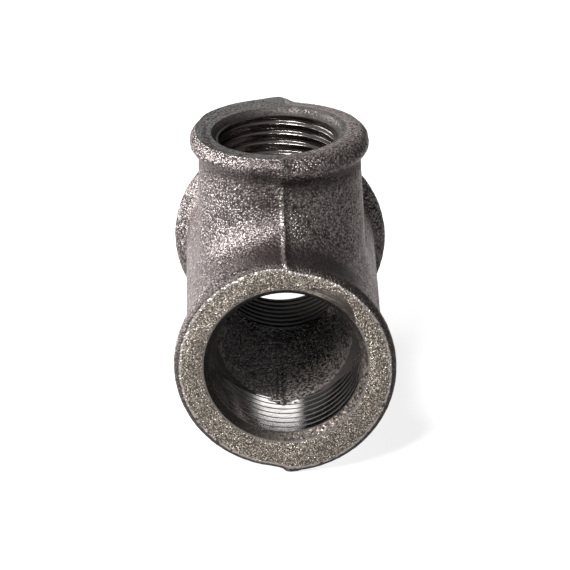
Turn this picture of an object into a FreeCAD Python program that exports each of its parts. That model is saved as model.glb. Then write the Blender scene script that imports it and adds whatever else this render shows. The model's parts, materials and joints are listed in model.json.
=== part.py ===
import FreeCAD, Part
import math
import os

# Banded reducing tee for screwed pipe, one malleable iron casting, in millimetres.
# The run lies along Y and the smaller branch rises along +Z.
# The origin is the point where the two centre lines cross.

# Pipe threads, 55 degree form, bored here to the crest, which a wide tap drill has cut short
inch = 25.4
turns_per_inch = 14
thread_depth_in_pitches = 0.640327
crest_truncation = 0.5
run_thread_diameter = 26.441
run_thread_length = 11.8
branch_thread_diameter = 20.955
branch_thread_length = 10.9
countersink_margin = 0.5
countersink_depth = 1.5

# Distance from the centre to each open end
run_reach = 30.0
branch_reach = 31.0

# Walls round the hollow that the sand core left behind the threads
core_relief = 0.4
run_wall = 3.55
neck_wall = 3.45
neck_draft_degrees = 2.0
neck_shoulder = 1.4
crotch_radius = 6.5

# Raised bands that stiffen the open ends
run_band_height = 2.15
run_band_width = 4.2
branch_band_height = 1.7
branch_band_width = 4.2
band_flank_lean = 0.7
band_back_bevel = 0.9
band_face_bevel = 0.8

# Marks left by the mould: the parting fin all round and the broken gate behind the branch
fin_height = 0.4
fin_width = 1.0
gate_height = 1.2
gate_top_width = 1.2
gate_root_width = 5.0

# Room past a face for a tool that has to clear it
clear = 5.0

thread_depth = thread_depth_in_pitches * inch / turns_per_inch - crest_truncation
run_bore_radius = run_thread_diameter / 2 - thread_depth
branch_bore_radius = branch_thread_diameter / 2 - thread_depth
neck_radius = branch_bore_radius + core_relief + neck_wall
branch_band_radius = neck_radius + branch_band_height
branch_band_back = branch_reach - branch_band_width
neck_root_radius = neck_radius + branch_band_back * math.tan(math.radians(neck_draft_degrees))
# However small the run is bored, its barrel stays wide enough to carry the neck
barrel_radius = max(run_bore_radius + core_relief + run_wall, neck_root_radius + neck_shoulder)


def turned(section):
    """Spin a closed half section, given as (radius, height) pairs, round Z."""
    points = [FreeCAD.Vector(radius, 0, height) for radius, height in section]
    wire = Part.makePolygon(points + points[:1])
    return Part.Face(wire).revolve(FreeCAD.Vector(), FreeCAD.Vector(0, 0, 1), 360)


def both_ways(end):
    """Half section of the whole run: one end's section after its own mirror image."""
    return [(radius, -height) for radius, height in reversed(end)] + end[1:]


def along_run(solid):
    """Lay a solid that was turned round Z along the run."""
    return solid.rotated(FreeCAD.Vector(), FreeCAD.Vector(1, 0, 0), 90)


def banded_end(root_radius, end_radius, band_radius, band_back, reach):
    """Half section of one end, from the other pipe's centre line out to the banded face."""
    step = band_radius - end_radius
    back_bevel = min(band_back_bevel, step / 2)
    face_bevel = min(band_face_bevel, step)
    return [
        (root_radius, 0),
        (end_radius, band_back),
        (band_radius - back_bevel, band_back + band_flank_lean),
        (band_radius, band_back + band_flank_lean + back_bevel),
        (band_radius, reach - face_bevel),
        (band_radius - face_bevel, reach),
        (0, reach),
    ]


def run_form(growth):
    """Barrel with its two bands, standing proud of its true size by the growth."""
    radius = barrel_radius + growth
    band_radius = radius + run_band_height
    band_back = run_reach - run_band_width - growth
    end = banded_end(radius, radius, band_radius, band_back, run_reach)
    return along_run(turned(both_ways(end)))


def branch_form(growth):
    """Neck with its band, wider towards the run by the draft of the mould."""
    end = banded_end(neck_root_radius + growth, neck_radius + growth, branch_band_radius + growth,
                     branch_band_back - growth, branch_reach)
    return turned([(0, 0)] + end)


def outer_form(growth):
    """Run and branch joined by the soft crotch between them."""
    joined = run_form(growth).fuse(branch_form(growth))
    # The edge where one round form runs into the other is the only free curve
    saddle = [edge for edge in joined.Edges if edge.Curve.TypeId == "Part::GeomBSplineCurve"]
    plain_barrel = run_reach - run_band_width - neck_radius
    plain_neck = branch_band_back - barrel_radius
    radius = min(crotch_radius, plain_barrel, plain_neck)
    return joined.makeFillet(radius - growth, saddle)


def parting_fin():
    """Thin fin in the plane X = 0, where the two halves of the mould met."""
    size = 2 * (run_reach + branch_reach)
    corner = FreeCAD.Vector(-fin_width / 2, -size / 2, -size / 2)
    slab = Part.makeBox(fin_width, size, size, corner)
    return outer_form(fin_height).common(slab)


def gate_stub():
    """Broken end of the gate, on the parting plane at the back of the branch band."""
    root_x = gate_root_width / 2
    root_y = math.sqrt(branch_band_radius ** 2 - root_x ** 2)
    peak_x = gate_top_width / 2
    peak_y = branch_band_radius + gate_height
    outline = [(-root_x, 0), (-root_x, root_y), (-peak_x, peak_y),
               (peak_x, peak_y), (root_x, root_y), (root_x, 0)]
    points = [FreeCAD.Vector(x, y, branch_band_back) for x, y in outline]
    wedge = Part.Face(Part.makePolygon(points + points[:1]))
    wedge = wedge.extrude(FreeCAD.Vector(0, 0, branch_band_width))
    return wedge.common(branch_form(gate_height))


def hollow_end(bore_radius, thread_diameter, thread_length, reach):
    """Half section of the hollow behind one mouth: core, thread bore and countersink."""
    core_radius = bore_radius + core_relief
    mouth_radius = thread_diameter / 2 + countersink_margin
    thread_start = reach - thread_length
    return [
        (core_radius, 0),
        (core_radius, thread_start - core_relief),
        (bore_radius, thread_start),
        (bore_radius, reach - countersink_depth),
        (mouth_radius, reach),
        (mouth_radius, reach + clear),
        (0, reach + clear),
    ]


def run_hollow():
    end = hollow_end(run_bore_radius, run_thread_diameter, run_thread_length, run_reach)
    return along_run(turned(both_ways(end)))


def branch_hollow():
    end = hollow_end(branch_bore_radius, branch_thread_diameter, branch_thread_length, branch_reach)
    return turned([(0, 0)] + end)


def tee_body():
    casting = outer_form(0).fuse([parting_fin(), gate_stub()])
    return casting.cut([run_hollow(), branch_hollow()]).removeSplitter()


body = tee_body()
box = body.optimalBoundingBox()
print("solids", len(body.Solids), "valid", body.isValid(), "volume cm3", round(body.Volume / 1000, 3))
print("size", round(box.XLength, 2), round(box.YLength, 2), round(box.ZLength, 2))

os.makedirs("parts", exist_ok=True)
body.Solids[0].exportStep("parts/tee_body.step")
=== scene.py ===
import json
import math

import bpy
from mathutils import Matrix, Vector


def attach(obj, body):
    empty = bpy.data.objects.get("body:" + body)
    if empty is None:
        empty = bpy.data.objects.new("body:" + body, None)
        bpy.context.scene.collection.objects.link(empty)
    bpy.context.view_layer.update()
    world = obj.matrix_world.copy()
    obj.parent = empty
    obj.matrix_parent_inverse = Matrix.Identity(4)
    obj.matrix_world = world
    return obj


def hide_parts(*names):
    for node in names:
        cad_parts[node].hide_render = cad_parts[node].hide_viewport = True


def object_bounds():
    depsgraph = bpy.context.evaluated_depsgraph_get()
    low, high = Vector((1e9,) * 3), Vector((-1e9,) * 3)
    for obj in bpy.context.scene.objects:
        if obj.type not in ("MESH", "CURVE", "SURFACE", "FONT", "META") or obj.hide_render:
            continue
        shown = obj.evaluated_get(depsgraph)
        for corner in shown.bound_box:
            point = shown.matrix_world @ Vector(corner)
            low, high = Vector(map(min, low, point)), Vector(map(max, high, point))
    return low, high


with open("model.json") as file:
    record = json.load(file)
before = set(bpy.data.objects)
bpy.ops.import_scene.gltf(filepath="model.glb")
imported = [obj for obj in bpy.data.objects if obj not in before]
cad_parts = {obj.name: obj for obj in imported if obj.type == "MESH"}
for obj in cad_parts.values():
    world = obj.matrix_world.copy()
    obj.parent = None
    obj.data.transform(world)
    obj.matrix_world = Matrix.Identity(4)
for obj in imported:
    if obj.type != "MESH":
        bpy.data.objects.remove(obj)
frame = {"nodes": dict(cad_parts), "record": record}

# %% [markdown]
# # A reducing tee of black malleable iron
# The object is one casting. A run, tapped at both ends, carries a smaller tapped branch. A foundry
# makes it in five steps, and this file follows them: the rough casting, the sand core that leaves the
# hollow, the ground faces, the countersinks, and at last the taps that cut the threads. Each step is
# one or two pieces of mesh, and a Boolean modifier does the cutting, so that each cut face keeps the
# material of the tool that cut it.

mm = 0.001
cad_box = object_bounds()
mounts = {mount["name"]: mount for mount in frame["record"]["mounts"]}
run_crest_radius = mounts["front_run_thread"]["dims"]["r_mm"] * mm
branch_crest_radius = mounts["branch_thread"]["dims"]["r_mm"] * mm
run_reach = -mounts["front_face"]["pos_m"][1]
branch_reach = mounts["branch_face"]["pos_m"][2]
print("run bore", run_crest_radius, "branch bore", branch_crest_radius)
print("reach of the run", run_reach, "and of the branch", branch_reach)

# %% [markdown]
# ## Camera
# The photograph was taken with a long lens from above one end of the run. The angles, the distance and
# the focal length were worked out from the rims of the three mouths, whose real sizes are known. A
# camera is easiest to place by its own three axes: right, up and back.

# %% Camera at the photograph's angle
camera_azimuth = math.radians(-0.519)
camera_elevation = math.radians(23.145)
camera_roll = math.radians(-1.363)
camera_distance = 749.1 * mm

level_right = Vector((math.cos(camera_azimuth), math.sin(camera_azimuth), 0))
back = Vector((
    math.sin(camera_azimuth) * math.cos(camera_elevation),
    -math.cos(camera_azimuth) * math.cos(camera_elevation),
    math.sin(camera_elevation),
))
level_up = back.cross(level_right)
right = math.cos(camera_roll) * level_right + math.sin(camera_roll) * level_up
up = back.cross(right)

bpy.ops.object.camera_add()
camera = bpy.context.object
camera.name = "photo_camera"
camera_turn = Matrix((right, up, back)).transposed().to_4x4()
camera.matrix_world = Matrix.Translation(back * camera_distance) @ camera_turn
camera.data.lens = 276.6
camera.data.shift_x = 0.0034
camera.data.shift_y = 0.0234
camera.data.clip_start = 0.1
camera.data.clip_end = 20
bpy.context.scene.camera = camera
print("camera", [round(c, 4) for c in camera.matrix_world.translation])

# %% [markdown]
# ## Helpers for work in edit mode
# An operator in edit mode acts on whatever is selected. So each step first clears the selection, and
# then picks faces or vertices by their place or direction.

# %% Selecting by place or direction


def alone(piece):
    """Make one object the only selected and the active one."""
    bpy.ops.object.select_all(action="DESELECT")
    piece.select_set(True)
    bpy.context.view_layer.objects.active = piece


def pick_vertices(piece, wanted):
    """Select the vertices whose place passes the test, and stay in edit mode."""
    alone(piece)
    bpy.ops.object.mode_set(mode="EDIT")
    bpy.ops.mesh.select_mode(type="VERT")
    bpy.ops.mesh.select_all(action="DESELECT")
    bpy.ops.object.mode_set(mode="OBJECT")
    chosen = [wanted(vertex.co) for vertex in piece.data.vertices]
    piece.data.vertices.foreach_set("select", chosen)
    bpy.ops.object.mode_set(mode="EDIT")
    return sum(chosen)


def pick_faces(piece, wanted):
    """Select the faces that pass the test, and stay in edit mode."""
    alone(piece)
    bpy.ops.object.mode_set(mode="EDIT")
    bpy.ops.mesh.select_mode(type="FACE")
    bpy.ops.mesh.select_all(action="DESELECT")
    bpy.ops.object.mode_set(mode="OBJECT")
    piece.data.polygons.foreach_set("select", [wanted(face) for face in piece.data.polygons])
    bpy.ops.object.mode_set(mode="EDIT")


# %% Smoothing, and making a change final


def smooth_where(piece, wanted, passes):
    """Move each chosen vertex halfway to its neighbours, a number of times."""
    count = pick_vertices(piece, wanted)
    bpy.ops.mesh.vertices_smooth(factor=0.5, repeat=passes)
    bpy.ops.object.mode_set(mode="OBJECT")
    print("smoothed", count, "vertices", passes, "times")


def place_in_mesh(piece):
    """Move the object's place, turn and scale into its mesh."""
    alone(piece)
    bpy.ops.object.transform_apply(location=True, rotation=True, scale=True)


def apply_all(piece):
    alone(piece)
    for modifier in list(piece.modifiers):
        bpy.ops.object.modifier_apply(modifier=modifier.name)


# %% [markdown]
# ## Material helpers
# Every finish here is a Principled shader fed by a few shared effects: cast grain, steel flecks, tool
# lines and stains. A shared effect is a node group, built once with named sockets, so each material
# places it with its own sizes.

# %% Adding a node, and sums with nodes


def add_node(tree, kind, inputs=None, **settings):
    """Add a node, set it up, and give its inputs a value or a link."""
    node = tree.nodes.new(kind)
    for name, value in settings.items():
        setattr(node, name, value)
    for name, value in (inputs or {}).items():
        if isinstance(value, bpy.types.NodeSocket):
            tree.links.new(value, node.inputs[name])
        else:
            node.inputs[name].default_value = value
    return node


def calculate(tree, operation, first, second=0.0, third=0.0):
    node = add_node(tree, "ShaderNodeMath", {0: first, 1: second, 2: third}, operation=operation)
    return node.outputs[0]


def product(tree, first, *others):
    for value in others:
        first = calculate(tree, "MULTIPLY", first, value)
    return first


def highest(tree, first, *others):
    for value in others:
        first = calculate(tree, "MAXIMUM", first, value)
    return first


def distance_from(tree, value, middle):
    return calculate(tree, "ABSOLUTE", calculate(tree, "SUBTRACT", value, middle))


# %% Vectors, ramps, blends and noise


def vector_math(tree, operation, first, second):
    """Work on vectors. The second value is a plain number where a vector is scaled."""
    where = "Scale" if operation == "SCALE" else 1
    node = add_node(tree, "ShaderNodeVectorMath", {0: first, where: second}, operation=operation)
    return node.outputs["Value"] if operation == "DOT_PRODUCT" else node.outputs["Vector"]


def ramp(tree, value, low, high, to_low=0.0, to_high=1.0):
    """A value that goes smoothly from one level to another between two limits."""
    node = add_node(tree, "ShaderNodeMapRange", {
        "Value": value, "From Min": low, "From Max": high, "To Min": to_low, "To Max": to_high,
    }, interpolation_type="SMOOTHSTEP")
    return node.outputs["Result"]


def blend_colours(tree, amount, first, second):
    node = add_node(tree, "ShaderNodeMix", {"Factor": amount}, data_type="RGBA")
    for socket, colour in ((node.inputs[6], first), (node.inputs[7], second)):
        if isinstance(colour, bpy.types.NodeSocket):
            tree.links.new(colour, socket)
        else:
            socket.default_value = (*colour, 1)
    return node.outputs[2]


def noise(tree, place, size, detail=2.0, roughness=0.5):
    node = add_node(tree, "ShaderNodeTexNoise", {
        "Vector": place, "Scale": 1 / size, "Detail": detail, "Roughness": roughness,
    })
    return node.outputs["Fac"]


# %% Making and placing a node group


def effect_group(name, inputs, outputs):
    """Start a node group with named sockets, and return it with its inner inputs and outputs."""
    group = bpy.data.node_groups.new(name, "ShaderNodeTree")
    for label, kind, value in inputs:
        socket = group.interface.new_socket(label, in_out="INPUT", socket_type=kind)
        if value is not None:
            socket.default_value = value
    for label, kind in outputs:
        group.interface.new_socket(label, in_out="OUTPUT", socket_type=kind)
    inside = group.nodes.new("NodeGroupInput").outputs
    outside = group.nodes.new("NodeGroupOutput").inputs
    print("group", name, "takes", [row[0] for row in inputs], "and gives", [row[0] for row in outputs])
    return group, inside, outside


def use_group(tree, group, **inputs):
    node = tree.nodes.new("ShaderNodeGroup")
    node.node_tree = group
    for name, value in inputs.items():
        socket = node.inputs[name.replace("_", " ")]
        if isinstance(value, bpy.types.NodeSocket):
            tree.links.new(value, socket)
        else:
            socket.default_value = value
    return node.outputs


def object_place(tree):
    return add_node(tree, "ShaderNodeTexCoord").outputs["Object"]


# %% [markdown]
# ### Cast grain
# Iron copies the sand that it was poured against. Up close that is a field of small rounded bumps with
# pits between, and patches that are rougher than others. Voronoi cells make the bumps, fine noise
# breaks them up, and slow noise gives the patches.

# %% Group: cast grain
cast_grain, inside, outside = effect_group(
    "cast_grain",
    [("Place", "NodeSocketVector", None), ("Size", "NodeSocketFloat", 0.5 * mm)],
    [("Height", "NodeSocketFloat"), ("Pits", "NodeSocketFloat"), ("Patches", "NodeSocketFloat")],
)
scale = calculate(cast_grain, "DIVIDE", 1.0, inside["Size"])
fine = add_node(cast_grain, "ShaderNodeTexNoise", {
    "Vector": inside["Place"], "Scale": scale, "Detail": 3.0, "Roughness": 0.6,
}).outputs["Fac"]
beads = add_node(cast_grain, "ShaderNodeTexVoronoi", {
    "Vector": inside["Place"], "Scale": scale, "Smoothness": 0.4,
}, feature="SMOOTH_F1").outputs["Distance"]
slow_scale = calculate(cast_grain, "MULTIPLY", scale, 0.12)
slow = add_node(cast_grain, "ShaderNodeTexNoise", {
    "Vector": inside["Place"], "Scale": slow_scale, "Detail": 2.0,
}).outputs["Fac"]
bead_height = ramp(cast_grain, beads, 0.75, 0.1, 0.0, 0.8)
height = calculate(cast_grain, "MULTIPLY_ADD", fine, 0.4, bead_height)
cast_grain.links.new(height, outside["Height"])
cast_grain.links.new(ramp(cast_grain, height, 0.55, 0.3), outside["Pits"])
cast_grain.links.new(ramp(cast_grain, slow, 0.35, 0.65), outside["Patches"])

# %% [markdown]
# ### Steel flecks
# A ground face of iron sparkles, because each grain was torn at its own angle. Each Voronoi cell here
# gets a random tilt of its normal and a random shade.

# %% Group: steel flecks
steel_flecks, inside, outside = effect_group(
    "steel_flecks",
    [
        ("Place", "NodeSocketVector", None),
        ("Size", "NodeSocketFloat", 0.4 * mm),
        ("Tilt", "NodeSocketFloat", 0.5),
    ],
    [("Normal", "NodeSocketVector"), ("Shade", "NodeSocketFloat")],
)
cells = add_node(steel_flecks, "ShaderNodeTexVoronoi", {
    "Vector": inside["Place"], "Scale": calculate(steel_flecks, "DIVIDE", 1.0, inside["Size"]),
})
random_lean = vector_math(steel_flecks, "SUBTRACT", cells.outputs["Color"], (0.5, 0.5, 0.5))
random_lean = vector_math(steel_flecks, "SCALE", random_lean, inside["Tilt"])
straight = add_node(steel_flecks, "ShaderNodeNewGeometry").outputs["Normal"]
leaning = vector_math(steel_flecks, "ADD", straight, random_lean)
leaning = add_node(steel_flecks, "ShaderNodeVectorMath", {0: leaning}, operation="NORMALIZE")
split = add_node(steel_flecks, "ShaderNodeSeparateColor", {"Color": cells.outputs["Color"]})
steel_flecks.links.new(leaning.outputs["Vector"], outside["Normal"])
steel_flecks.links.new(split.outputs["Red"], outside["Shade"])

# %% [markdown]
# ### Tool lines
# A tap, a countersink or a facing tool leaves fine rings round its axis. Noise that changes fast along
# the axis and along the radius, but hardly at all round it, gives such rings without a seam. The group
# also says how far a surface leans towards the axis, which tells the flank of a thread from its flats.

# %% Group: tool lines
tool_lines, inside, outside = effect_group(
    "tool_lines",
    [
        ("Place", "NodeSocketVector", None),
        ("Axis", "NodeSocketVector", (0, 0, 1)),
        ("Spacing", "NodeSocketFloat", 0.2 * mm),
    ],
    [("Lines", "NodeSocketFloat"), ("Lean", "NodeSocketFloat")],
)
along = vector_math(tool_lines, "DOT_PRODUCT", inside["Place"], inside["Axis"])
axial = vector_math(tool_lines, "SCALE", inside["Axis"], along)
radial = vector_math(tool_lines, "SUBTRACT", inside["Place"], axial)
radius = add_node(tool_lines, "ShaderNodeVectorMath", {0: radial}, operation="LENGTH").outputs["Value"]
outward = add_node(tool_lines, "ShaderNodeVectorMath", {0: radial}, operation="NORMALIZE").outputs["Vector"]
travel = calculate(tool_lines, "ADD", along, radius)
travel = calculate(tool_lines, "DIVIDE", travel, inside["Spacing"])
rings = vector_math(tool_lines, "SCALE", inside["Axis"], travel)
spot = vector_math(tool_lines, "ADD", rings, vector_math(tool_lines, "SCALE", outward, 2.0))
lines = add_node(tool_lines, "ShaderNodeTexNoise", {
    "Vector": spot, "Scale": 1.0, "Detail": 3.0, "Roughness": 0.7,
})
tool_lines.links.new(lines.outputs["Fac"], outside["Lines"])
facing = add_node(tool_lines, "ShaderNodeNewGeometry").outputs["Normal"]
lean = vector_math(tool_lines, "DOT_PRODUCT", facing, inside["Axis"])
tool_lines.links.new(calculate(tool_lines, "ABSOLUTE", lean), outside["Lean"])

# %% [markdown]
# ### Stains
# Oil and the first rust lie in soft-edged islands. Two noises, one warping the other, give islands
# that don't look like round blobs.

# %% Group: stains
stains, inside, outside = effect_group(
    "stains",
    [
        ("Place", "NodeSocketVector", None),
        ("Size", "NodeSocketFloat", 3 * mm),
        ("Cover", "NodeSocketFloat", 0.5),
    ],
    [("Mask", "NodeSocketFloat")],
)
scale = calculate(stains, "DIVIDE", 1.0, inside["Size"])
warp = add_node(stains, "ShaderNodeTexNoise", {"Vector": inside["Place"], "Scale": scale, "Detail": 2.0})
pushed = vector_math(stains, "SCALE", warp.outputs["Color"], inside["Size"])
islands = add_node(stains, "ShaderNodeTexNoise", {
    "Vector": vector_math(stains, "ADD", inside["Place"], pushed),
    "Scale": scale, "Detail": 4.0, "Roughness": 0.6,
}).outputs["Fac"]
level = ramp(stains, inside["Cover"], 0.0, 1.0, 0.75, 0.25)
over = calculate(stains, "SUBTRACT", islands, level)
stains.links.new(ramp(stains, over, -0.06, 0.1), outside["Mask"])

# %% [markdown]
# ## Finishes
# A finish starts with an empty material and the object's own coordinates. What changes over the
# surface is linked to the shader, and what is the same all over is set on its socket.

# %% Starting and connecting a finish


def start_material(name):
    material = bpy.data.materials.new(name)
    material.use_nodes = True
    tree = material.node_tree
    print("material", name)
    return material, tree, tree.nodes["Principled BSDF"], object_place(tree)


def along_axes(tree, place):
    return add_node(tree, "ShaderNodeSeparateXYZ", {0: place}).outputs


def connect(tree, shader, **inputs):
    """Link the changing inputs of the shader, and set its plain ones."""
    for name, value in inputs.items():
        socket = shader.inputs[name.replace("_", " ")]
        if isinstance(value, bpy.types.NodeSocket):
            tree.links.new(value, socket)
        else:
            socket.default_value = value


def bumped(tree, height, depth, normal=None):
    """A normal from a height, whose full range stands for the given depth."""
    inputs = {"Height": height, "Distance": depth, "Strength": 1.0}
    if normal is not None:
        inputs["Normal"] = normal
    return add_node(tree, "ShaderNodeBump", inputs).outputs["Normal"]


# %% [markdown]
# ### Cast skin
# The skin is black mill scale: almost no colour, a dull gloss, and a strong grain. Where the rims of the
# ends have been rubbed, bare iron shows. A wavering line of the same pale colour along the joint of the
# mould is a painted highlight, brightest half way up the neck. Three masks of place say where these are.

# %% Cast skin: rubbed rims, and a painted highlight on the seam
cast_skin, tree, shader, place = start_material("cast_skin")
where = along_axes(tree, place)
# The line along the seam is a painted highlight, brightest half way up the neck.
wander = ramp(tree, noise(tree, place, 4 * mm, 3.0), 0.3, 0.7, 0.25 * mm, -0.25 * mm)
painted_seam_highlight = ramp(tree, distance_from(tree, where["X"], wander), 0.42 * mm, 0.12 * mm)
below_collar = ramp(tree, where["Z"], 26.2 * mm, 25 * mm, 0.15, 1.0)
half_way_up = ramp(tree, distance_from(tree, where["Z"], 21 * mm), 6 * mm, 3 * mm, 0.3, 1.0)
painted_seam_highlight = product(tree, painted_seam_highlight, below_collar, half_way_up)
from_middle = calculate(tree, "ABSOLUTE", where["Y"])
end_rim = ramp(tree, from_middle, run_reach - 0.16 * mm, run_reach - 0.08 * mm)
top_rim = ramp(tree, where["Z"], branch_reach - 0.2 * mm, branch_reach - 0.08 * mm, 0.0, 0.35)
broken_up = ramp(tree, noise(tree, place, 0.8 * mm, 3.0), 0.3, 0.45)
rubbed_and_seam_highlight = product(tree, highest(tree, end_rim, top_rim, painted_seam_highlight), broken_up)

# %% [markdown]
# Shade is painted dark into the skin: on the barrel behind the front band, as a painted shadow under
# the collar of the branch, and in a streak down the neck. The rims of the end bands are dull too. Such
# places are products of a few ramps along the axes, each one a soft-edged slice of the object.

# %% Cast skin: painted shade, and dull rims
# Painted shade behind the front band, a painted shadow under the collar, and painted shade down the neck.
painted_shade_behind_band = product(
    tree, ramp(tree, where["Z"], 22 * mm, 18 * mm), ramp(tree, where["Z"], 8 * mm, 13 * mm),
    ramp(tree, where["Y"], -14 * mm, -18 * mm), ramp(tree, where["X"], -10 * mm, -3.5 * mm),
)
painted_shadow_under_collar = product(
    tree, ramp(tree, where["Z"], 23 * mm, 25.8 * mm), ramp(tree, where["Z"], 27.6 * mm, 27 * mm),
    ramp(tree, where["X"], -3 * mm, 2 * mm, 0.45, 0.9),
)
painted_shade_down_neck = product(
    tree, ramp(tree, distance_from(tree, where["X"], -2.6 * mm), 4.2 * mm, 1.5 * mm),
    ramp(tree, where["Z"], 17.5 * mm, 20 * mm, 0.0, 0.6),
)
painted_shade = product(tree, highest(tree, painted_shade_behind_band, painted_shadow_under_collar, painted_shade_down_neck), 0.85)
dull_rim = ramp(tree, from_middle, 28.7 * mm, 29.3 * mm, 0.0, 0.75)
shade_and_dull_rim = highest(tree, painted_shade, dull_rim)

# %% Cast skin: grain, colour and gloss
grain = use_group(tree, cast_grain, Place=place, Size=0.4 * mm)
facets = use_group(tree, steel_flecks, Place=place, Size=0.34 * mm, Tilt=0.42)
scale_and_shade_black = (0.02, 0.016, 0.015)
bare_iron_and_seam_highlight = (0.34, 0.31, 0.29)
colour = blend_colours(tree, facets["Shade"], (0.03, 0.025, 0.024), (0.265, 0.231, 0.224))
colour = blend_colours(tree, product(tree, grain["Pits"], 0.7), colour, scale_and_shade_black)
# The painted shade and the dull rims darken the colour towards black.
colour = blend_colours(tree, shade_and_dull_rim, colour, scale_and_shade_black)
colour = blend_colours(tree, rubbed_and_seam_highlight, colour, bare_iron_and_seam_highlight)
roughness = calculate(tree, "MULTIPLY_ADD", shade_and_dull_rim, 0.25, ramp(tree, grain["Patches"], 0.0, 1.0, 0.3, 0.22))
connect(
    tree, shader, Base_Color=colour, Metallic=ramp(tree, rubbed_and_seam_highlight, 0.0, 1.0, 0.65, 0.9),
    Roughness=roughness, IOR=1.45, Specular_Tint=(1, 0.9, 0.88, 1),
    Normal=bumped(tree, grain["Height"], 0.12 * mm, facets["Normal"]),
)
print("cast skin", len(tree.nodes), "nodes")

# %% [markdown]
# ### Core skin
# The core's skin is duller, with a coarser grain. The core's two halves met in a seam as well, which
# left two faint lines side by side. Past the branch the wall is painted black as shade, and the edge of
# that painted shade runs slanting down both sides. The left side is painted half dark as well.

# %% Core skin
core_skin, tree, shader, place = start_material("core_skin")
where = along_axes(tree, place)
grain = use_group(tree, cast_grain, Place=place, Size=0.5 * mm)
core_seam_place = ramp(tree, noise(tree, place, 3 * mm, 3.0), 0.3, 0.7, -0.7 * mm, -1.1 * mm)
off_seam = distance_from(tree, where["X"], core_seam_place)
seam_lines = ramp(tree, distance_from(tree, off_seam, 0.5 * mm), 0.4 * mm, 0.15 * mm, 0.0, 0.85)
# Painted shade: black past the branch, and half dark on the left.
painted_shade_edge = ramp(tree, noise(tree, place, 1.5 * mm, 3.0), 0.3, 0.7, -0.8 * mm, 0.8 * mm)
past_branch = calculate(tree, "MULTIPLY_ADD", calculate(tree, "ABSOLUTE", where["X"]), -0.53, where["Y"])
past_branch = calculate(tree, "ADD", past_branch, painted_shade_edge)
painted_core_shade = highest(
    tree, ramp(tree, past_branch, 9 * mm, 11 * mm), ramp(tree, where["X"], 0.0, -6 * mm, 0.0, 0.5),
)
colour = blend_colours(tree, grain["Pits"], (0.46, 0.395, 0.37), (0.03, 0.026, 0.024))
colour = blend_colours(tree, seam_lines, colour, (0.006, 0.005, 0.005))
colour = blend_colours(tree, painted_core_shade, colour, (0.003, 0.003, 0.003))
connect(
    tree, shader, Base_Color=colour, Roughness=0.46, IOR=1.18,
    Normal=bumped(tree, grain["Height"], 0.9 * mm),
)
print("core skin", len(tree.nodes), "nodes")

# %% [markdown]
# ## Ground and turned iron
# The faces of the run were ground on a coarse stone: warm grey, salt and pepper, with a few reddish
# spots low on one side. The branch's ring is smoother, and turned.

# %% Ground face
ground_face, tree, shader, place = start_material("ground_face")
where = along_axes(tree, place)
flecks = use_group(tree, steel_flecks, Place=place, Size=0.24 * mm, Tilt=1.2)
grain = use_group(tree, cast_grain, Place=place, Size=0.26 * mm)
rust = use_group(tree, stains, Place=place, Size=0.8 * mm, Cover=0.25)["Mask"]
low_right = calculate(tree, "SUBTRACT", where["X"], where["Z"])
rust = product(tree, rust, ramp(tree, low_right, 8 * mm, 22 * mm))
colour = blend_colours(tree, flecks["Shade"], (0.05, 0.041, 0.034), (0.5, 0.435, 0.37))
colour = blend_colours(tree, product(tree, grain["Pits"], 0.85), colour, (0.05, 0.042, 0.036))
colour = blend_colours(tree, rust, colour, (0.16, 0.06, 0.05))
connect(
    tree, shader, Base_Color=colour, Metallic=0.7,
    Roughness=ramp(tree, flecks["Shade"], 0.0, 1.0, 0.5, 0.3),
    Normal=bumped(tree, grain["Height"], 0.1 * mm, flecks["Normal"]),
)

# %% Turned ring of the branch
turned_ring, tree, shader, place = start_material("turned_ring")
lines = use_group(tree, tool_lines, Place=place, Axis=(0, 0, 1), Spacing=0.25 * mm)["Lines"]
flecks = use_group(tree, steel_flecks, Place=place, Size=0.26 * mm, Tilt=0.45)
colour = blend_colours(tree, flecks["Shade"], (0.03, 0.026, 0.025), (0.1, 0.088, 0.085))
connect(
    tree, shader, Base_Color=colour, Metallic=0.8, Roughness=ramp(tree, lines, 0.3, 0.7, 0.32, 0.46),
    Normal=bumped(tree, lines, 0.05 * mm, flecks["Normal"]),
)

# %% [markdown]
# ## Cut metal
# A tap leaves bare iron with a film of cutting oil. The flats of the thread shine. Its flanks are
# rougher, and their dark colour is painted shade. The lean of the surface tells one from the other, and
# each thread sets the two leans between which the finish changes.

# %% Metal of the threads
along_run = (0, 1, 0)
along_branch = (0, 0, 1)


def cut_metal(name, axis, flat_colour, flank_shade_and_smudge_colour, roughness, line_depth, metallic, ior, flank_leans):
    material, tree, shader, place = start_material(name)
    marks = use_group(tree, tool_lines, Place=place, Axis=axis, Spacing=0.14 * mm)
    flank = ramp(tree, marks["Lean"], *flank_leans)
    smudge = use_group(tree, stains, Place=place, Size=2.5 * mm, Cover=0.45)["Mask"]
    # The dark colour of the flanks is painted shade. The smudges are stains that take the same dark colour.
    colour = blend_colours(tree, flank, flat_colour, flank_shade_and_smudge_colour)
    colour = blend_colours(tree, product(tree, smudge, 0.3), colour, flank_shade_and_smudge_colour)
    connect(
        tree, shader, Base_Color=colour, IOR=ior,
        Metallic=ramp(tree, flank, 0.0, 1.0, metallic, 0.3 * metallic) if metallic else 0.0,
        Roughness=ramp(tree, flank, 0.0, 1.0, roughness, 0.5) if roughness < 0.5 else 0.5,
        Normal=bumped(tree, marks["Lines"], line_depth),
    )
    return material


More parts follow.
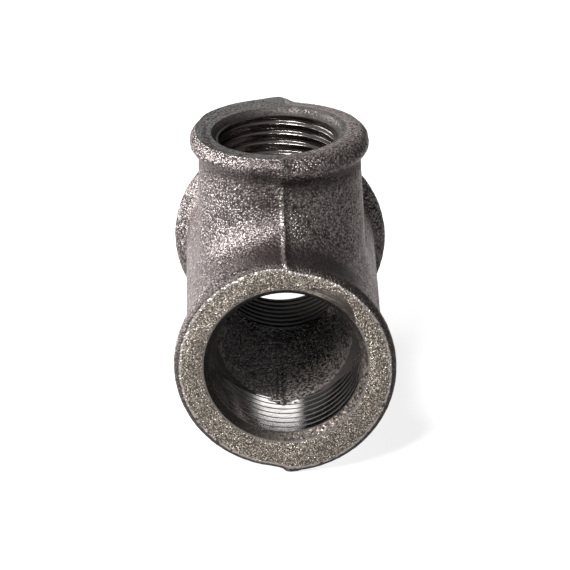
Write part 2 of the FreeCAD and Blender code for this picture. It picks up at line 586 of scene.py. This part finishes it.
run_thread_metal = cut_metal(
    "run_thread_metal", along_run, (0.97, 0.93, 0.91), (0.03, 0.026, 0.025),
    roughness=0.09, line_depth=0.006 * mm, metallic=1.0, ior=1.3, flank_leans=(0.06, 0.3),
)
rear_thread_metal = cut_metal(
    "rear_thread_metal", along_run, (0.03, 0.026, 0.024), (0.02, 0.017, 0.016),
    roughness=0.5, line_depth=0.03 * mm, metallic=0.0, ior=1.12, flank_leans=(0.3, 0.75),
)
branch_thread_metal = cut_metal(
    "branch_thread_metal", along_branch, (0.17, 0.153, 0.145), (0.03, 0.025, 0.024),
    roughness=0.22, line_depth=0.03 * mm, metallic=1.0, ior=1.5, flank_leans=(0.72, 0.85),
)

# %% [markdown]
# A countersink chatters, so its cone is torn more than cut: ring marks broken up by grains. It is black
# with oil. Pale grains are painted light, and show only where a mask of place lets them. On the run that
# is low and to the right, and on the branch it is near the face, with painted shade deeper in.

# %% Metal of the countersinks


def torn_metal(name, axis, dark_colour, pale_colour, painted_light_place):
    """Ring marks broken by torn grains, pale as painted light only where the mask of place is high."""
    material, tree, shader, place = start_material(name)
    marks = use_group(tree, tool_lines, Place=place, Axis=axis, Spacing=0.2 * mm)
    torn = use_group(tree, steel_flecks, Place=place, Size=0.26 * mm, Tilt=0.5)
    pale = product(tree, torn["Shade"], painted_light_place(tree, along_axes(tree, place)))
    connect(
        tree, shader, Base_Color=blend_colours(tree, pale, dark_colour, pale_colour),
        Metallic=0.6, IOR=1.3, Roughness=ramp(tree, pale, 0.0, 1.0, 0.5, 0.34),
        Normal=bumped(tree, marks["Lines"], 0.08 * mm, torn["Normal"]),
    )
    return material


# Painted light: pale grains low and to the right of each run mouth.
def painted_light_low_right(tree, where):
    return ramp(tree, calculate(tree, "SUBTRACT", where["X"], where["Z"]), 0.0, 16 * mm, 0.08, 0.75)


# Painted light near the branch face, and painted shade deeper in the cone.
def painted_light_near_branch_face(tree, where):
    return ramp(tree, where["Z"], branch_reach - 0.9 * mm, branch_reach - 0.3 * mm, 0.25, 1.0)


countersink_metal = torn_metal(
    "countersink_metal", along_run, (0.008, 0.007, 0.006), (0.2, 0.168, 0.15), painted_light_low_right
)
branch_countersink_metal = torn_metal(
    "branch_countersink_metal", along_branch, (0.02, 0.017, 0.016), (0.1, 0.088, 0.085), painted_light_near_branch_face
)

# %% [markdown]
# Two small finishes remain. The broken edge of each run mouth is burnished, one even grey. High on the
# right of the front face the tool slipped. Its mark is specked like the face at its outer end, fades to
# black towards the mouth, and carries the rings of the tool.

# %% Burnished edge
burnished_patch, tree, shader, place = start_material("burnished_patch")
marks = use_group(tree, tool_lines, Place=place, Axis=along_run, Spacing=0.14 * mm)
flank = ramp(tree, marks["Lean"], 0.3, 0.75)
connect(
    tree, shader, Base_Color=(0.09, 0.08, 0.075, 1), IOR=1.5,
    Metallic=ramp(tree, flank, 0.0, 1.0, 1.0, 0.3), Roughness=ramp(tree, flank, 0.0, 1.0, 0.3, 0.5),
    Normal=bumped(tree, marks["Lines"], 0.06 * mm),
)

# %% Slip mark
slip_mark, tree, shader, place = start_material("slip_mark")
where = along_axes(tree, place)
marks = use_group(tree, tool_lines, Place=place, Axis=along_run, Spacing=0.3 * mm)
specks = use_group(tree, steel_flecks, Place=place, Size=0.3 * mm, Tilt=0.6)
darker_towards_mouth = ramp(tree, calculate(tree, "SUBTRACT", where["X"], where["Z"]), -8 * mm, 0.0)
colour = blend_colours(tree, specks["Shade"], (0.06, 0.05, 0.043), (0.4, 0.35, 0.3))
colour = blend_colours(tree, darker_towards_mouth, colour, (0.04, 0.033, 0.03))
colour = blend_colours(tree, ramp(tree, marks["Lines"], 0.42, 0.6), colour, (0.06, 0.05, 0.045))
connect(
    tree, shader, Base_Color=colour, Metallic=0.8, Roughness=0.38,
    Normal=bumped(tree, marks["Lines"], 0.08 * mm, specks["Normal"]),
)
print("slip mark", len(tree.nodes), "nodes")

# %% [markdown]
# ## The raw casting
# The frame's solid already has the true outside: barrel, neck, bands, the soft crotch between them, the
# parting fin and the stub of the gate. Its edges are the plain bevels of a drawing, though, and sand
# never leaves an edge that crisp. So a copy is plugged, lengthened a little for the grinding to come,
# cast anew as small voxels, and its edges are worn soft by averaging each vertex with its neighbours.
# Sculpting would do it too, but a count of passes can be repeated exactly.

# %% A copy of the solid
casting = bpy.data.objects.new("tee_casting", frame["nodes"]["tee_body"].data.copy())
bpy.context.scene.collection.objects.link(casting)
casting.data.materials.clear()
alone(casting)
bpy.ops.object.mode_set(mode="EDIT")
bpy.ops.mesh.select_all(action="SELECT")
bpy.ops.mesh.remove_doubles(threshold=0.002 * mm)
bpy.ops.object.mode_set(mode="OBJECT")
print("copy", len(casting.data.vertices), "vertices")

# %% Lengthening it


def shift_where(piece, wanted, step):
    """Move the chosen vertices by one step."""
    print("moved", pick_vertices(piece, wanted), "vertices", [round(part / mm, 3) for part in step], "mm")
    bpy.ops.transform.translate(value=step)
    bpy.ops.object.mode_set(mode="OBJECT")


run_allowance = 0.12 * mm
branch_allowance = 0.16 * mm
touch = 0.01 * mm
shift_where(casting, lambda place: place.y < touch - run_reach, (0, -run_allowance, 0))
shift_where(casting, lambda place: place.y > run_reach - touch, (0, run_allowance, 0))
shift_where(casting, lambda place: place.z > branch_reach - touch, (0, 0, branch_allowance))

# %% [markdown]
# ### The collar of the branch
# The drawing gives the collar one small bevel all round. In the casting its front edge is much rounder
# than its back. So the rim is drawn in, and the ring of vertices below it is lowered, more in front than
# at the sides. Each half of the mould gets its own amounts.

# %% A wider bevel on the collar
inside_rim = 13 * mm
inside_side = 15 * mm
bevel_foot = 30 * mm
bevel_foot_top = 30.4 * mm
front_end = -40 * mm
side_start = 2 * mm
side_end = 7 * mm


def scale_where(piece, wanted, factors):
    """Draw the chosen vertices towards the origin, or away from it."""
    print("scaled", pick_vertices(piece, wanted), "vertices by", factors)
    bpy.ops.transform.resize(value=factors, center_override=(0, 0, 0))
    bpy.ops.object.mode_set(mode="OBJECT")


def on_collar(place, side, start, end, past):
    """True on one side of the collar, between two limits along Y and outside a radius."""
    return place.x * side > 0 and start < place.y < end and place.xy.length > past


for side, start, end, squeeze, drop in (
    (-1, front_end, side_start, 0.945, 0.95 * mm), (-1, side_start, side_end, 0.965, 0.6 * mm),
    (1, front_end, side_start, 0.955, 0.9 * mm), (1, side_start, side_end, 0.98, 0.3 * mm),
):
    scale_where(casting, lambda place: (
        on_collar(place, side, start, end, inside_rim) and place.z > branch_reach - touch
    ), (squeeze, squeeze, 1))
    shift_where(casting, lambda place: (
        on_collar(place, side, start, end, inside_side) and bevel_foot < place.z < bevel_foot_top
    ), (0, 0, -drop))

# %% [markdown]
# ### The two halves of the mould
# The halves meet in the plane X = 0, and in this casting they didn't meet quite true. Everything left
# of the seam sits a little high and everything right of it a little low. It shows as a step across the
# bands and as rims that are sharp on one side and round on the other. So each half is moved by itself.

# %% Shift the halves
left_rise = 0.4 * mm
right_drop = 0.4 * mm
seam_half_width = 0.62 * mm
front_band_squeeze = 0.982
back_rim_drop = 0.1 * mm
shift_where(casting, lambda place: place.x < -seam_half_width, (0, 0, left_rise))
shift_where(casting, lambda place: place.x > seam_half_width, (0, 0, -right_drop))
scale_where(
    casting, lambda place: place.x > seam_half_width and place.y < -25 * mm, (front_band_squeeze, 1, 1)
)
shift_where(casting, lambda place: (
    place.x > 3 * mm and place.y > -3 * mm and place.z > 29.5 * mm and place.xy.length > 12 * mm
), (0, 0, -back_rim_drop))

# %% The stub of the gate, broken off narrow and to one side
gate_back = 15.5 * mm
gate_low = 26 * mm
gate_half_width = 3 * mm
gate_squeeze = 0.6
gate_shift = 0.9 * mm


def on_gate(place):
    return place.y > gate_back and place.z > gate_low and abs(place.x) < gate_half_width


scale_where(casting, on_gate, (gate_squeeze, 1, 1))
shift_where(casting, on_gate, (gate_shift, 0, 0))

# %% Rods and blocks


def rod(radius, depth, location, rotation=(0, 0, 0)):
    bpy.ops.object.select_all(action="DESELECT")
    bpy.ops.mesh.primitive_cylinder_add(
        vertices=128, radius=radius, depth=depth, location=location, rotation=rotation
    )
    piece = bpy.context.object
    place_in_mesh(piece)
    return piece


def block(low, high):
    """A block between two opposite corners."""
    low, high = Vector(low), Vector(high)
    bpy.ops.object.select_all(action="DESELECT")
    bpy.ops.mesh.primitive_cube_add(size=1, location=(low + high) / 2, scale=high - low)
    piece = bpy.context.object
    place_in_mesh(piece)
    return piece


# %% Plugs, and the lump that the fin left below the front band
to_front = (math.radians(90), 0, 0)
to_rear = (math.radians(-90), 0, 0)
run_plug_radius = 14.2 * mm
branch_plug_radius = 11.6 * mm
run_plug = rod(run_plug_radius, 2 * (run_reach + run_allowance), (0, 0, 0), to_front)
full_height = branch_reach + branch_allowance
branch_plug = rod(branch_plug_radius, full_height, (0, 0, full_height / 2))
fin_lump = block((-0.55 * mm, -29.4 * mm, -18.95 * mm), (1.3 * mm, -26.8 * mm, -17.5 * mm))
print("plugs and lump", [len(piece.data.vertices) for piece in (run_plug, branch_plug, fin_lump)], "vertices")

# %% Cast as voxels
bpy.ops.object.select_all(action="DESELECT")
for piece in (run_plug, branch_plug, fin_lump, casting):
    piece.select_set(True)
bpy.context.view_layer.objects.active = casting
bpy.ops.object.join()
remesh = casting.modifiers.new("cast", "REMESH")
remesh.mode = "VOXEL"
remesh.voxel_size = 0.44 * mm
apply_all(casting)
print("raw casting", len(casting.data.vertices), "vertices")

# %% [markdown]
# The bands were the most exposed, so they get the most passes. The fin gets one, because a fin that is
# smoothed like the rest fades away.

# %% Wear the edges soft
band_start = 25.2 * mm
branch_band_start = 26.2 * mm
fin_half_width = 0.8 * mm


def on_fin(place):
    on_band = abs(place.y) > band_start or place.z > branch_band_start
    on_lump = abs(place.x - 0.35 * mm) < 1.3 * mm and place.z < -18.5 * mm
    return abs(place.x) < fin_half_width and not on_band or on_lump


smooth_where(casting, lambda place: True, 1)
smooth_where(casting, lambda place: not on_fin(place), 2)
smooth_where(casting, lambda place: abs(place.y) > band_start and not on_fin(place), 12)
smooth_where(casting, lambda place: place.z > branch_band_start, 14)

# %% The grain of the sand
sand = bpy.data.textures.new("sand", "CLOUDS")
sand.noise_scale = 0.8 * mm
sand.noise_depth = 2
grain = casting.modifiers.new("sand grain", "DISPLACE")
grain.texture = sand
grain.texture_coords = "LOCAL"
grain.strength = 0.1 * mm
grain.mid_level = 0.5
apply_all(casting)
casting.data.materials.append(cast_skin)
print("sand casting", len(casting.data.vertices), "vertices")

# %% [markdown]
# ## The sand core
# The hollow is what a baked sand core left. It was rammed in two half boxes, so its section is a lens
# with a faint edge top and bottom, where the halves met. Two long drums, each shifted sideways, give
# that lens where they overlap. Each drum narrows towards its ends, and the thread starts where the
# taper runs out of iron to cut: low in the middle, and further in at the sides.

# %% Cutting one piece with another


def cut(piece, tool, operation="DIFFERENCE"):
    """Boolean one piece by another, keep the tool's material on the cut, and put the tool away."""
    boolean = piece.modifiers.new("cut", "BOOLEAN")
    boolean.object = tool
    boolean.operation = operation
    boolean.solver = "MANIFOLD"
    boolean.material_mode = "TRANSFER"
    apply_all(piece)
    print(operation.lower(), "of", piece.name, "and", tool.name, "has", len(piece.data.polygons), "faces")
    bpy.data.objects.remove(tool)


# %% Core for the run, from two drums
core_drum_radius = 13.2 * mm
core_shift = 1.0 * mm
core_straight = 8.0 * mm
core_end = 21.5 * mm
core_end_scale = 11.6 / 13.2


def half_core(shift):
    drum = rod(core_drum_radius, 2 * core_straight, (0, 0, 0))
    for side in (-1, 1):
        pick_faces(drum, lambda face: face.normal.z * side > 0.9)
        bpy.ops.mesh.extrude_region_move(
            TRANSFORM_OT_translate={"value": (0, 0, side * (core_end - core_straight))}
        )
        bpy.ops.transform.resize(value=(core_end_scale, core_end_scale, 1))
        bpy.ops.object.mode_set(mode="OBJECT")
    drum.rotation_euler.x = math.radians(90)
    drum.location.x = shift
    place_in_mesh(drum)
    return drum


core = half_core(-core_shift)
core.name = "sand_core"
cut(core, half_core(core_shift), "INTERSECT")

# %% Core for the branch, baked together with the run's
branch_core_radius = 9.9 * mm
branch_core_height = 19.0 * mm
branch_core = rod(branch_core_radius, branch_core_height, (0, 0, branch_core_height / 2))
pick_faces(branch_core, lambda face: face.normal.z > 0.9)
bpy.ops.mesh.extrude_region_move(TRANSFORM_OT_translate={"value": (0, 0, 4 * mm)})
bpy.ops.transform.resize(value=(0.88, 0.88, 1))
bpy.ops.object.mode_set(mode="OBJECT")
cut(core, branch_core, "UNION")

remesh = core.modifiers.new("bake", "REMESH")
remesh.mode = "VOXEL"
remesh.voxel_size = 0.6 * mm
apply_all(core)
smooth_where(core, lambda place: abs(place.x) > 0.8 * mm, 4)
core_sand = bpy.data.textures.new("core sand", "CLOUDS")
core_sand.noise_scale = 1.2 * mm
core_sand.noise_depth = 1
rough = core.modifiers.new("core grain", "DISPLACE")
rough.texture = core_sand
rough.texture_coords = "LOCAL"
rough.strength = 0.36 * mm
apply_all(core)
core.data.materials.clear()
core.data.materials.append(core_skin)
core.data.polygons.foreach_set("material_index", [0] * len(core.data.polygons))
print("core", len(core.data.vertices), "vertices")
cut(casting, core)

# %% [markdown]
# ## Ground faces
# A flat block takes away what stands past each face. A second pass with a file flattened the fin on
# top of the front band.

# %% Grind the three faces and file the fin
wide = 40 * mm
file_height = 18.6 * mm


def grind(low, high, material):
    stone = block(low, high)
    stone.data.materials.append(material)
    cut(casting, stone)


grind((-wide, -wide, -wide), (wide, -run_reach, wide), ground_face)
grind((-wide, run_reach, -wide), (wide, wide, wide), ground_face)
grind((-wide, -wide, branch_reach), (wide, wide, wide), turned_ring)
grind((-6 * mm, -31 * mm, file_height), (6 * mm, -24 * mm, file_height + 1.9 * mm), cast_skin)

# %% [markdown]
# ## Countersinks
# The machinist opened each mouth with a countersink before tapping. The casting never sat quite true
# in the jaws, so each mouth is a little off the middle of its band, and so is its thread.

# %% A cone, and a way to aim it


def countersink(mouth_radius, bottom_radius, depth, reach):
    """A cone whose wide end lies 1 mm past the face."""
    past = 1 * mm
    slope = (mouth_radius - bottom_radius) / depth
    bpy.ops.object.select_all(action="DESELECT")
    bpy.ops.mesh.primitive_cone_add(
        vertices=128, radius1=bottom_radius, radius2=mouth_radius + slope * past, depth=depth + past,
        location=(0, 0, reach - depth + (depth + past) / 2),
    )
    cone = bpy.context.object
    place_in_mesh(cone)
    return cone


def aim(tool, rotation, off, material):
    """Turn a tool from +Z to its mouth, move it off centre, and give it the finish that it leaves."""
    tool.rotation_euler = rotation
    tool.location = off
    place_in_mesh(tool)
    tool.data.materials.append(material)
    return tool


# %% Countersinks, each off centre by its own amount
front_off = Vector((-0.05, 0, 0.6)) * mm
rear_off = Vector((0, 0, 0.15)) * mm
branch_off = Vector((-0.45, -0.8, 0)) * mm
run_mouth_radius = 13.7 * mm
run_mouth_bottom = 12.75 * mm
run_mouth_depth = 1.47 * mm
branch_mouth_radius = 11.05 * mm
branch_mouth_bottom = 10.25 * mm
branch_mouth_depth = 1.1 * mm
for rotation, off in ((to_front, front_off), (to_rear, rear_off)):
    cone = countersink(run_mouth_radius, run_mouth_bottom, run_mouth_depth, run_reach)
    cut(casting, aim(cone, rotation, off, countersink_metal))
cone = countersink(branch_mouth_radius, branch_mouth_bottom, branch_mouth_depth, branch_reach)
cut(casting, aim(cone, (0, 0, 0), branch_off, branch_countersink_metal))

# %% The sharp edge of each mouth, broken
for rotation, off in ((to_front, front_off), (to_rear, rear_off)):
    cone = countersink(run_mouth_radius + 0.16 * mm, run_mouth_radius - 0.05 * mm, 0.14 * mm, run_reach)
    cut(casting, aim(cone, rotation, off, burnished_patch))

# %% [markdown]
# ### A slip of the tool
# High on the right of the front mouth the countersink chattered and left a shallow, shiny hollow in
# the face. A low drum, slightly tilted, scoops it out.

# %% Shallow hollow beside the front mouth
slip_radius = 6.4 * mm
slip_depth = 0.3 * mm
slip = rod(slip_radius, 2 * mm, (0, 0, 1 * mm))
slip_turn = (math.radians(90 - 1.5), 0, math.radians(-2.0))
slip_place = Vector((5.2, 0, 7.5)) * mm + front_off + Vector((0, slip_depth - run_reach, 0))
cut(casting, aim(slip, slip_turn, slip_place, slip_mark))

# %% [markdown]
# ## Taps
# A tap is a male thread. Its section is drawn as one pitch of a line and pulled round and up by a Screw
# modifier. The drill before it was wide, so the crests of the iron stay cut short and flat. A worn tap
# also leaves the edges between flat and flank a little round, and the ease says how much.

# %% Drawing a line by hand


def drawn_line(name, points):
    """Pull one vertex along a list of points, as when a profile is drawn by hand."""
    bpy.ops.object.select_all(action="DESELECT")
    bpy.ops.mesh.primitive_plane_add(size=mm)
    line = bpy.context.object
    line.name = name
    bpy.ops.object.mode_set(mode="EDIT")
    bpy.ops.mesh.select_all(action="SELECT")
    bpy.ops.mesh.merge(type="CENTER")
    here = Vector()
    for index, point in enumerate(points):
        step = Vector(point) - here
        here = Vector(point)
        if index == 0:
            bpy.ops.transform.translate(value=step)
        else:
            bpy.ops.mesh.extrude_vertices_move(TRANSFORM_OT_translate={"value": step})
    bpy.ops.object.mode_set(mode="OBJECT")
    return line


# %% The section of a tap
pitch = 25.4 / 14 * mm
root_flat = 0.3 * mm


def tap_section(crest_radius, thread_depth, ease):
    """One pitch: a flat on the crest, a flank, a flat at the root, and a flank back.

    The ease is how far the rounding of an edge reaches to each side of it. The hold puts one more point
    just past the rounding, which keeps the flats and the flanks straight up to there.
    """
    root_radius = crest_radius + thread_depth
    lean = math.radians(27.5)
    flank = thread_depth * math.tan(lean)
    crest_flat = pitch - 2 * flank - root_flat
    hold = 0.2 * ease
    dip, rise = ease * math.cos(lean), ease * math.sin(lean)
    held_dip, held_rise = (ease + hold) * math.cos(lean), (ease + hold) * math.sin(lean)
    return [
        (crest_radius + dip, 0, -rise),
        (crest_radius + 0.3 * ease, 0, 0.25 * ease),
        (crest_radius, 0, ease),
        (crest_radius, 0, ease + hold),
        (crest_radius, 0, crest_flat - ease - hold),
        (crest_radius, 0, crest_flat - ease),
        (crest_radius + 0.3 * ease, 0, crest_flat - 0.25 * ease),
        (crest_radius + dip, 0, crest_flat + rise),
        (crest_radius + held_dip, 0, crest_flat + held_rise),
        (root_radius - held_dip, 0, crest_flat + flank - held_rise),
        (root_radius - dip, 0, crest_flat + flank - rise),
        (root_radius - 0.3 * ease, 0, crest_flat + flank + 0.25 * ease),
        (root_radius, 0, crest_flat + flank + ease),
        (root_radius, 0, pitch - flank - ease),
        (root_radius - 0.3 * ease, 0, pitch - flank - 0.25 * ease),
        (root_radius - dip, 0, pitch - flank + rise),
        (root_radius - held_dip, 0, pitch - flank + held_rise),
        (crest_radius + held_dip, 0, pitch - held_rise),
        (crest_radius + dip, 0, pitch - rise),
    ]


print("pitch", round(pitch / mm, 3), "mm, points in a section", len(tap_section(0, 0, 0)))

# %% The section, screwed round


def tap(crest_radius, thread_depth, length, reach, ease=0.0):
    """A male thread on Z, its end past the face."""
    line = drawn_line("tap", tap_section(crest_radius, thread_depth, ease))
    turns = math.ceil(length / pitch) + 3
    screw = line.modifiers.new("screw", "SCREW")
    screw.axis = "Z"
    screw.screw_offset = pitch
    screw.iterations = turns
    screw.steps = 72
    screw.render_steps = 72
    screw.use_merge_vertices = False
    apply_all(line)
    bpy.ops.object.mode_set(mode="EDIT")
    bpy.ops.mesh.select_all(action="SELECT")
    bpy.ops.mesh.remove_doubles(threshold=0.002 * mm)
    start = 1.2 * pitch
    for height, direction in ((start, -1), (start + length, 1)):
        bpy.ops.mesh.select_all(action="SELECT")
        bpy.ops.mesh.bisect(
            plane_co=(0, 0, height), plane_no=(0, 0, direction), use_fill=True,
            clear_outer=True, threshold=0.0001 * mm,
        )
    bpy.ops.mesh.select_all(action="SELECT")
    bpy.ops.mesh.normals_make_consistent(inside=False)
    bpy.ops.object.mode_set(mode="OBJECT")
    line.location.z = reach + 0.5 * mm - length - start
    place_in_mesh(line)
    return line


# %% Three threaded holes
run_tap_length = 15.5 * mm
branch_tap_length = 13.0 * mm
front_depth = 0.13 * mm
rear_depth = 0.5 * mm
branch_depth = 0.6 * mm
tool = tap(run_crest_radius, front_depth, run_tap_length, run_reach)
cut(casting, aim(tool, to_front, front_off, run_thread_metal))
tool = tap(run_crest_radius, rear_depth, run_tap_length, run_reach)
cut(casting, aim(tool, to_rear, rear_off, rear_thread_metal))
tool = tap(branch_crest_radius, branch_depth, branch_tap_length, branch_reach, ease=0.1 * mm)
cut(casting, aim(tool, (0, 0, 0), branch_off, branch_thread_metal))
alone(casting)
bpy.ops.object.shade_smooth_by_angle(angle=math.radians(35))
triangles = sum(len(face.vertices) - 2 for face in casting.data.polygons)
print("tee", triangles, "triangles", [m.name for m in casting.data.materials])

# %% [markdown]
# ## Floor, backdrop and light
# The photograph was taken on white. The floor glows only for the camera, so it throws no light of its
# own on the part. The backdrop stands behind the rear mouth. It shows through the run, and the front
# thread mirrors it as a bright column, so the backdrop's place, width and soft sides set the column's.

# %% White materials


def add_glow(tree, shader, strength):
    """Let a surface shine on top of what the lamps light."""
    glow = add_node(tree, "ShaderNodeEmission", {"Color": (1, 1, 1, 1), "Strength": strength})
    both = add_node(tree, "ShaderNodeAddShader", {0: shader.outputs[0], 1: glow.outputs[0]})
    tree.links.new(both.outputs[0], tree.nodes["Material Output"].inputs["Surface"])


white_sweep, tree, shader, place = start_material("white_sweep")
path = add_node(tree, "ShaderNodeLightPath").outputs
connect(tree, shader, Base_Color=(0.35, 0.35, 0.35, 1), Roughness=0.9, Specular_IOR_Level=0.0)
add_glow(tree, shader, product(tree, path["Is Camera Ray"], 0.84))

backdrop_middle = 0.17
bright_backdrop, tree, shader, place = start_material("bright_backdrop")
path = add_node(tree, "ShaderNodeLightPath").outputs
seen = highest(tree, path["Is Camera Ray"], path["Is Glossy Ray"])
from_middle = distance_from(tree, along_axes(tree, place)["X"], backdrop_middle)
connect(tree, shader, Base_Color=(0.85, 0.85, 0.85, 1), Roughness=0.9)
add_glow(tree, shader, product(tree, seen, ramp(tree, from_middle, 0.55, 0.33)))

# %% Floor and backdrop
bpy.ops.object.select_all(action="DESELECT")
bpy.ops.mesh.primitive_plane_add(size=6, location=(0, 0, cad_box[0].z))
floor = bpy.context.object
floor.name = "floor"
place_in_mesh(floor)
floor.data.materials.append(white_sweep)

bpy.ops.object.select_all(action="DESELECT")
bpy.ops.mesh.primitive_plane_add(size=1, location=(backdrop_middle, 2, 1), rotation=to_front)
backdrop = bpy.context.object
backdrop.scale = (1.1, 2, 1)
backdrop.name = "backdrop"
place_in_mesh(backdrop)
backdrop.data.materials.append(bright_backdrop)
print("stage", floor.name, backdrop.name)

# %% [markdown]
# A large soft box stands at the left. A smaller one hangs overhead in front, and a small one beside it
# reaches into the mouth. None stands at the right, so that side falls off into the dark of the room:
# the world is white for the camera, and nearly black for everything else.

# %% World and lamps
room_level = 0.05
world = bpy.data.worlds.new("studio")
bpy.context.scene.world = world
world.use_nodes = True
tree = world.node_tree
path = add_node(tree, "ShaderNodeLightPath").outputs
strength = ramp(tree, path["Is Camera Ray"], 0.0, 1.0, room_level, 1.0)
background = tree.nodes["Background"]
background.inputs["Color"].default_value = (1, 1, 1, 1)
tree.links.new(strength, background.inputs["Strength"])
bpy.context.scene.view_settings.view_transform = "Standard"


def softbox(name, place, width, height, power):
    bpy.ops.object.light_add(type="AREA", location=place)
    lamp = bpy.context.object
    lamp.name = name
    lamp.data.shape = "RECTANGLE"
    lamp.data.size = width
    lamp.data.size_y = height
    lamp.data.energy = power
    lamp.rotation_euler = (-Vector(place)).to_track_quat("-Z", "Y").to_euler()
    lamp.visible_camera = False
    print("lamp", name, power, "W")


softbox("left", (-0.62, 0.14, 0.13), 0.66, 0.26, 10)
softbox("top", (-0.28, -0.4, 0.62), 0.36, 0.16, 15)
softbox("front", (-0.33, -0.57, 0.44), 0.12, 0.12, 3)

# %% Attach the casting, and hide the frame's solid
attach(casting, "root")
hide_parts("tee_body")
